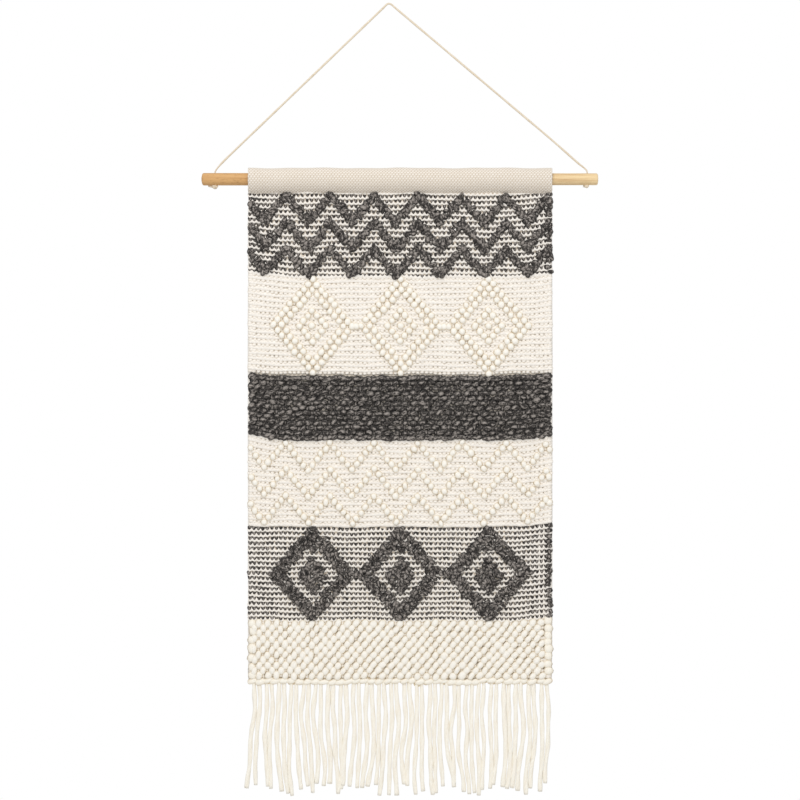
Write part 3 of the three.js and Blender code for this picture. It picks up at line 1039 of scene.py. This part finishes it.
@dataclass
class Panel:
    """The woven panel: its cloth, ribs, stitches, loops and twined lower edge."""

    shop: Workshop
    top: float = -0.2822
    bottom: float = HEM
    rows_behind: int = 141
    steps_a_row: int = 4
    front_steps: int = 70
    relief: float = 0.0009          # how far the rows of the back stand out
    made: list[Piece] = field(default_factory=list)

    def cloth(self) -> Piece:
        """Weaves the cloth that everything stands on; its back shows plain rows."""
        row_height = (self.top - self.bottom) / self.rows_behind
        heights = np.concatenate([
            np.linspace(self.top, self.bottom, self.front_steps),
            np.linspace(self.bottom, self.top, self.rows_behind * self.steps_a_row + 1)])
        sides = len(heights)
        behind = np.arange(sides) >= self.front_steps

        def raised(along: Array, z: Array) -> Array:
            """Gives how far the weft of the back stands out, 0 to 1."""
            place = (z - self.top) / row_height
            weft = np.abs(np.cos(math.pi * (along * CLOTH.columns + np.floor(place + 0.5) * 0.5)))
            return np.abs(np.cos(math.pi * place)) * (0.4 + 0.6 * weft)

        def at(along: Array, angle: Array) -> Array:
            """Finds the points of the cloth."""
            side = side_of(angle, sides)
            z = heights[side]
            x = CLOTH.left + 0.0008 + along * (CLOTH.width - 0.0016)
            y = np.where(behind[side], CLOTH.back - self.relief + self.relief * raised(along, z),
                         CLOTH.front + self.relief)
            return np.stack([CLOTH.wander(x, z), y, CLOTH.bowed(x, z)], axis=1)

        mesh, along, angle = tube_mesh(CLOTH.columns * 2, sides, at)
        side = side_of(angle, sides)
        z = heights[side]
        # Painted shade: the back darkens between its raised rows, the front, seen between stitches
        # and loops, takes three quarters of the hollow shade, and both take less of it on the
        # outermost columns.
        deep = np.where(behind[side], (1 - raised(along, z)) * 0.9, 0.75) * CLOTH.inset(along)
        tone = 0.5 + 0.3 * np.sin(z * 60 + np.sin(along * 20))
        carry(mesh, np.stack([along * CLOTH.width, z, behind[side]], axis=1), tone, deep)
        ground = self.shop.piece("ground_cloth", mesh, "ground", PANEL_BEND, "ground_weave")
        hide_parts("woven_ground")
        return ground

    def ribs(self, band: Band) -> Piece:
        """Lays the cream weft between the rows of a band's stitches.

        Args:
            band: the band.

        Returns:
            The ribs, in one piece.
        """
        rng = dice(band.rows + len(band.name))
        dark = band.yarn == "charcoal"
        tooth_height, wave_height, thick, sharp = (
            (0.0026, 0.0008, band.pitch * 0.27, 3.2) if dark
            else (0.0014, 0.0003, band.pitch * 0.37, 1.6))
        selvedge = CLOTH.columns - 2
        meshes = []
        for row in [r + 0.5 for r in range(band.rows - 1)] + list(band.extra_ribs):
            height = band.row(row)
            own = rng.uniform(0, 40)

            def at(along: Array, angle: Array) -> Array:
                """Finds the points of one rib."""
                x = CLOTH.left + along * CLOTH.width
                place = (x - CLOTH.left) / CLOTH.pitch
                beat = np.cos(FULL_TURN * place)
                tooth = (0.5 + 0.5 * beat) ** sharp
                if dark:
                    tooth = tooth * np.where(np.abs(place - selvedge) < 1.4, 1.9, 1.0)
                end = np.sqrt(np.clip(np.minimum(along, 1 - along) * 140, 0.02, 1))
                swell = 1 + 0.10 * np.sin(x * 160 + own) + 0.06 * np.sin(x * 410 + own * 3)
                up, out = np.sin(angle), np.cos(angle)
                z = height + up * thick * swell * end + np.clip(up, 0, 1) * tooth * tooth_height
                z = z + 0.0003 * np.sin(x * 75 + own * 2) + wave_height * beat
                y = CLOTH.front + 0.0006 - np.clip(out, -0.3, 1) * 0.0026 * swell * end
                return np.stack([CLOTH.wander(x, z), y, CLOTH.bowed(x, z)], axis=1)

            mesh, along, angle = tube_mesh(CLOTH.columns * 6, 10, at)
            yarn = np.stack([along * CLOTH.width + own, angle * 0.0022, np.full_like(along, own)],
                            axis=1)
            wave = 0.5 + 0.2 * np.sin(along * 60 + own) + 0.1 * np.sin(along * 230 + own)
            # Painted shade: each rib darkens away from its front, and less so on the outermost
            # columns.
            carry(mesh, yarn, wave, np.clip(1 - np.cos(angle), 0, 1) * CLOTH.inset(along))
            meshes.append(mesh)
        name = band.name + "_ribs"
        return self.shop.piece(name, joined(meshes), "ground", band.body, "ground_weave")

    def stitches(self, band: Band, covered: set[Cell], large: float = 1.0) -> Piece:
        """Sets the small pointed stitches of a band's rows, and a dark band's floats and knots.

        Args:
            band: the band.
            covered: the columns and rows under loops.
            large: how large they are.

        Returns:
            The stitches, in one piece.
        """
        rng = dice(7 * band.rows)
        name = band.name + "_stitches"
        dark = band.yarn == "charcoal"
        cells = [(c, r) for r in range(band.rows) for c in range(CLOTH.columns)
                 if (c, r) not in covered]
        edge = np.array([min(c, CLOTH.columns - 1 - c) for c, _ in cells])
        more, reach = (0.28, 8.0) if dark else (0.1, 3.5)
        size = large * (1 + more * np.clip(1 - edge / reach, 0, 1))
        base = CLOTH.front - 0.0002
        mesh = band.stitch.made(band.placed(cells), rng, size=size, base=base)
        if not dark:
            return self.shop.piece(name, mesh, "ground", band.body, "ground_weave")
        step = 1 if band.motif is Motif.SOLID else 2
        behind = [(c, r) for r in range(band.rows) for c in range(r % step, CLOTH.columns, step)]
        float_stitch = Loop(0.0078, 0.0070 / step, 0.0014, twist=0.1, segments=6, rings=5)
        floats = float_stitch.made(band.placed(behind), rng, base=base)
        mirrored(floats, CLOTH.back / 2)
        meshes = [mesh, floats]
        if band.motif is not Motif.SOLID:
            turns = [(CLOTH.columns - 1.25, r) for r in range(band.rows)]
            knots = Loop(0.0092, 0.0070, 0.0034, spread=0.14)
            meshes.append(knots.made(band.placed(turns), rng))
        return self.shop.piece(name, joined(meshes), "charcoal", band.body, "charcoal_yarn")

    def loops(self, band: Band, name: str, node: str, cells: Cells,
              lean: Callable[[Array], Array] | None = None) -> Piece:
        """Stands one motif's loops on the cloth.

        Args:
            band: the band.
            name: the piece's name.
            node: the solid that it replaces.
            cells: the loops' columns and rows.
            lean: gives the loops' lean for their places.

        Returns:
            The loops, in one piece.
        """
        rng = dice(sum(ord(letter) for letter in name))
        places = band.placed(cells)
        places[:, 0] += band.set_off * (0.9 - (places[:, 0] - CLOTH.left) / CLOTH.width)
        strands = band.loop.strands
        if strands > 1:
            turn = rng.uniform(0, FULL_TURN, len(places))
            turn = turn + FULL_TURN * np.arange(strands)[:, None] / strands
            apart = np.stack([np.cos(turn), 0.8 * np.sin(turn)], axis=2) * band.loop.width * 0.24
            places = (places + apart).reshape(-1, 2)
            margin = band.loop.height * 0.25
            places[:, 1] = np.clip(places[:, 1], band.bottom + margin, band.top - margin)
        mesh = band.loop.made(places, rng, lean=lean(places) if lean else 0.0)
        item = self.shop.piece(name, mesh, band.yarn, band.body, band.yarn + "_yarn")
        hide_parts(node)
        self.made.append(item)
        return item

    def zigzags(self, band: Band) -> set[Cell]:
        """Makes a band's three zigzags and lists the cells they cover."""
        covered = set()
        for start, height in zip((0, 5, 10), ("upper", "middle", "lower")):
            cells = band.zigzag(start)
            self.loops(band, f"{band.yarn}_zigzag_loops_{height}", f"{band.yarn}_zigzag_{height}",
                       cells)
            covered |= set(cells)
        return covered

    def diamonds(self, band: Band) -> set[Cell]:
        """Makes a band's three diamonds with their hearts and lists the cells they cover."""
        covered = set()
        dark = band.yarn == "charcoal"
        for centre, side in zip(CLOTH.centres, ("left", "centre", "right")):
            middle = band.rows // 2
            outline, inner, heart = (band.ring(centre, radius) for radius in (9, 7, 3))
            if side == "centre":
                outline += [(centre + s * 10, middle) for s in (-1, 1)]
            heart += band.ring(centre, 1) if dark else [(centre, middle)]
            if dark:
                outline.append((centre, middle - 5))
            wide, narrow, sink = (1.05, 0.84, 0.4) if dark else (1.0, 1.0, 0.0)
            self.loops(band, f"{band.yarn}_diamond_loops_{side}", f"{band.yarn}_diamond_{side}",
                       outline + [(centre + (c - centre) * wide, r) for c, r in inner])
            self.loops(band, f"{band.yarn}_heart_loops_{side}",
                       f"{band.yarn}_diamond_heart_{side}",
                       [(centre + (c - centre) * narrow, r + sink) for c, r in heart])
            covered |= set(outline) | set(inner) | set(heart)
        return covered

    def selvedge(self, band: Band) -> Piece:
        """Covers a looped band's sides with flat turns of its weft."""
        right = np.arange(band.top - 0.0052, band.bottom + 0.0040, -0.0104)
        left = np.arange(band.top - 0.0060, band.bottom + 0.0050, -0.0130)
        columns = np.repeat([CLOTH.columns - 1.5, 0.0], [len(right), len(left)])
        places = np.stack([CLOTH.column(columns), np.concatenate([right, left])], axis=1)
        turn = Loop(0.0136, 0.0136, 0.0036, twist=0.14)
        mesh = turn.made(places, dice(61), base=CLOTH.front - 0.0008)
        return self.shop.piece("cream_selvedge", mesh, "fringe", "panel", "cream_yarn")

    def edge(self) -> Piece:
        """Twines the row of flat stitches that closes the lower edge."""
        rng = dice(99)
        count = 38
        xs = CLOTH.left + (np.arange(count) + 0.5) * (CLOTH.width / count)
        places = np.stack([xs, np.full(count, self.bottom + 0.0002)], axis=1)
        stitch = Loop(0.0098, 0.0160, 0.0038, turn=math.pi / 2 - 0.28, twist=0.10,
                      segments=10, rings=8)
        front = stitch.made(places, rng, base=0.0002)
        back = stitch.made(places, rng, base=0.0012)
        mirrored(back, 0.0012)
        item = self.shop.piece("twined_stitches", joined([front, back]), "fringe", "panel",
                               "cream_yarn")
        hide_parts("twined_edge")
        return item

    def build(self, with_pieces: Sequence[Piece]) -> None:
        """Makes the whole panel.

        Args:
            with_pieces: the fringe, which hangs from it; not used.
        """
        ground = self.cloth()
        for band in BANDS:
            if band.motif is Motif.SOLID:
                cells, lean = band.solid(), None
                if band.yarn == "cream":
                    cells = [(c, r) for c, r in cells if 0 < c < CLOTH.columns - 2]
                    lean = self.leaning
                    self.made.append(self.selvedge(band))
                self.loops(band, band.name, band.yarn + "_loop_band", cells, lean)
                self.made.append(self.stitches(band, set(), 1.5))
            else:
                covered = self.zigzags(band) if band.motif is Motif.ZIGZAG else self.diamonds(band)
                self.made += [self.ribs(band), self.stitches(band, covered)]
        self.made.append(self.edge())

    @staticmethod
    def leaning(places: Array) -> Array:
        """Leans the lowest band's loops more towards the middle and the right."""
        across = (places[:, 0] - CLOTH.left) / CLOTH.width
        return 0.2 + 0.45 * np.clip((across - 0.12) / 0.3, 0, 1)


@dataclass
class Fringe:
    """The fringe: pairs of soft cut ends under the twined edge."""

    shop: Workshop
    count: int = 24
    pitch: float = 0.01904
    strand: float = 0.0033
    start: float = HEM
    length: float = 0.162
    steps: int = 40

    def strand_mesh(self, x: float, foot: float, length: float, drift: float, rng: Random) -> Mesh:
        """Makes one soft strand.

        Args:
            x: where it starts across.
            foot: how far sideways it has moved after its first third.
            length: how long it is.
            drift: how far sideways its end hangs from there.
            rng: where its waves come from.

        Returns:
            The mesh, with what a yarn's finish reads.
        """
        phase = rng.uniform(0, 6.3, 4)
        sway = rng.normal(0, 0.0006, 3)
        corners = []
        for t in np.linspace(0, 1, 12):
            opened = min(t * 3.2, 1.0)
            side = x + foot * (3 * opened ** 2 - 2 * opened ** 3) + drift * max(t - 0.3, 0) / 0.7
            side += opened * (0.0024 * math.sin(4.7 * t + x * 26)
                              + 0.0008 * math.sin(9 * t - x * 71)
                              + sway[0] * math.sin(6 * t + phase[0])
                              + sway[1] * math.sin(12 * t + phase[1]))
            deep = 0.0021 + opened * sway[2] * math.sin(6 * t + phase[2])
            corners.append((side, deep, self.start - length * t))
        route = Route.through(corners, self.steps)
        width = self.strand * rng.uniform(0.92, 1.08)

        def turned(along: Array, angle: Array) -> Array:
            """Gives the angle round the twisted plies."""
            return angle - (along * length * 70 + phase[3])

        def radius(along: Array, angle: Array) -> Array:
            """Gives the strand's radius: soft, twice plied, blunt at its cut end."""
            plies = 1 + 0.10 * np.cos(2 * turned(along, angle))
            lumps = 1 + 0.06 * np.sin(along * 17 + phase[0]) + 0.04 * np.sin(along * 43 + phase[1])
            neck = 0.86 + 0.14 * np.clip(along * 8, 0, 1)
            cut = 1 - 0.10 * np.clip((along - 0.96) / 0.04, 0, 1) ** 2
            return width * plies * lumps * neck * cut

        mesh, along, angle = tube_mesh(self.steps, PLY_SIDES, route.surface(radius))
        own = rng.uniform(0, 40)
        ply = turned(along, angle)
        yarn = np.stack([along * length + own, ply * self.strand, np.full_like(along, own)], axis=1)
        tone = np.clip(0.5 + 0.25 * np.sin(along * 9 + phase[2]), 0, 1)
        # Painted shade, faint, in the grooves between the plies.
        carry(mesh, yarn, tone, (0.5 - 0.5 * np.cos(2 * ply)) ** 3 * 0.30)
        return mesh

    def build(self) -> list[Piece]:
        """Hangs the pairs of strands under the twined edge."""
        made = []
        for number in range(self.count):
            rng = dice(500 + number)
            middle = CLOTH.left + (number + 0.5) * self.pitch
            lean = 0.0036 * math.sin(number * 0.55 - 0.2) - (0.005 if number == 0 else 0.0)
            middle += 0.0030 * (1 - number / 12) + rng.normal(0, 0.0004)
            meshes = []
            for side in (-1, 1):
                length = self.length + rng.uniform(-0.009, 0.010)
                foot = side * rng.uniform(0.0004, 0.0016)
                drift = lean + rng.normal(0, 0.0024)
                meshes.append(self.strand_mesh(middle + side * 0.0036, foot, length, drift, rng))
            name = f"fringe_strands_{number + 1:02d}"
            item = self.shop.piece(name, joined(meshes), "fringe", FRINGE_BEND,
                                           "cream_yarn")
            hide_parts(f"fringe_{number + 1:02d}")
            made.append(item)
        return made


@dataclass
class Studio:
    """The camera, the soft lights and the pale floor."""

    middle: tuple[float, float] = (0.0171, -0.5931)
    frame_side: float = 1.2
    lens: float = 85.0
    sensor: float = 36.0

    def camera(self) -> None:
        """Sets the camera straight in front of the hanging."""
        data = bpy.data.cameras.new("camera")
        data.lens = self.lens
        data.sensor_width = self.sensor
        camera = linked("camera", data)
        camera.location = (self.middle[0], -self.frame_side * self.lens / self.sensor,
                           self.middle[1])
        camera.rotation_euler = (math.pi / 2, 0.0, 0.0)
        bpy.context.scene.camera = camera

    def light(self, name: str, place: Sequence[float], size: float, power: float) -> None:
        """Adds a square area light that looks at the middle of the hanging."""
        data = bpy.data.lights.new(name, "AREA")
        data.shape = "SQUARE"
        data.size = size
        data.energy = power
        lamp = linked(name, data)
        lamp.location = place
        target = Vector((self.middle[0], 0.0, self.middle[1]))
        lamp.rotation_euler = (target - Vector(place)).to_track_quat("-Z", "Y").to_euler()

    def room(self) -> None:
        """Lights the scene softly against white and lays the floor."""
        world = bpy.data.worlds.new("studio")
        world.use_nodes = True
        tree = world.node_tree
        tree.nodes.clear()
        path, seen, lit, mix, out = (tree.nodes.new("ShaderNode" + kind) for kind in (
            "LightPath", "Background", "Background", "MixShader", "OutputWorld"))
        for node, strength in ((seen, 1.0), (lit, 0.62)):
            node.inputs["Color"].default_value = WHITE
            node.inputs["Strength"].default_value = strength
        for source, target in ((path.outputs["Is Camera Ray"], mix.inputs[0]),
                               (lit.outputs[0], mix.inputs[1]), (seen.outputs[0], mix.inputs[2]),
                               (mix.outputs[0], out.inputs["Surface"])):
            tree.links.new(source, target)
        bpy.context.scene.world = world
        self.light("key", (-0.7, -2.2, 1.3), 1.6, 34.0)
        self.light("fill", (1.2, -2.4, 0.2), 2.0, 12.0)
        bm = bmesh.new()
        bmesh.ops.create_grid(bm, x_segments=1, y_segments=1, size=1.0,
                              matrix=Matrix.Translation((self.middle[0], -0.3, -1.35)))
        floor = linked("floor", mesh_of(bm))
        shader = Shader("floor_pale")
        shader.constants(Base_Color=(0.82, 0.81, 0.79, 1.0), Roughness=0.9)
        floor.data.materials.append(shader.material)
        bpy.context.scene.view_settings.view_transform = "Standard"


# The third colour of each yarn is the painted shade of its hollows.
FINISHES = {
    "cord": YarnFinish("cord_cotton", (240, 229, 210), (226, 210, 186), (206, 184, 150), 0.3,
                       2400.0),
    "sleeve": YarnFinish("sleeve_weave", (246, 240, 231), (235, 226, 213), (174, 150, 118), 0.25,
                         1500.0, 420.0, 0.2),
    "ground": YarnFinish("ground_yarn", (255, 250, 243), (247, 240, 230), (228, 214, 192), 0.25),
    "cream": YarnFinish("cream_wool", (255, 253, 247), (252, 247, 237), (226, 203, 158), 0.25),
    "charcoal": YarnFinish("charcoal_wool", (177, 169, 162), (63, 59, 57), (18, 16, 15), 1.0,
                           1100.0, 280.0, 1.0, 0.75, 0.52, 0.08),
    "fringe": YarnFinish("fringe_wool", (255, 252, 242), (252, 245, 232), (230, 212, 180), 0.3,
                         1100.0, 420.0, 0.4),
}


def main() -> None:
    """Builds the wall hanging and its studio."""
    logging.basicConfig(level=logging.INFO, format="%(name)s: %(message)s")
    studio = Studio()
    studio.camera()
    materials = {name: finish.made() for name, finish in FINISHES.items()}
    materials["dowel"] = WoodFinish().made()
    shop = Workshop(materials)
    HangingCord(shop).build()
    Dowel(shop).build()
    Sleeve(shop).build()
    fringe = Fringe(shop).build()
    Panel(shop).build(fringe)
    studio.room()
    bpy.context.view_layer.update()


if __name__ == "__main__":
    main()
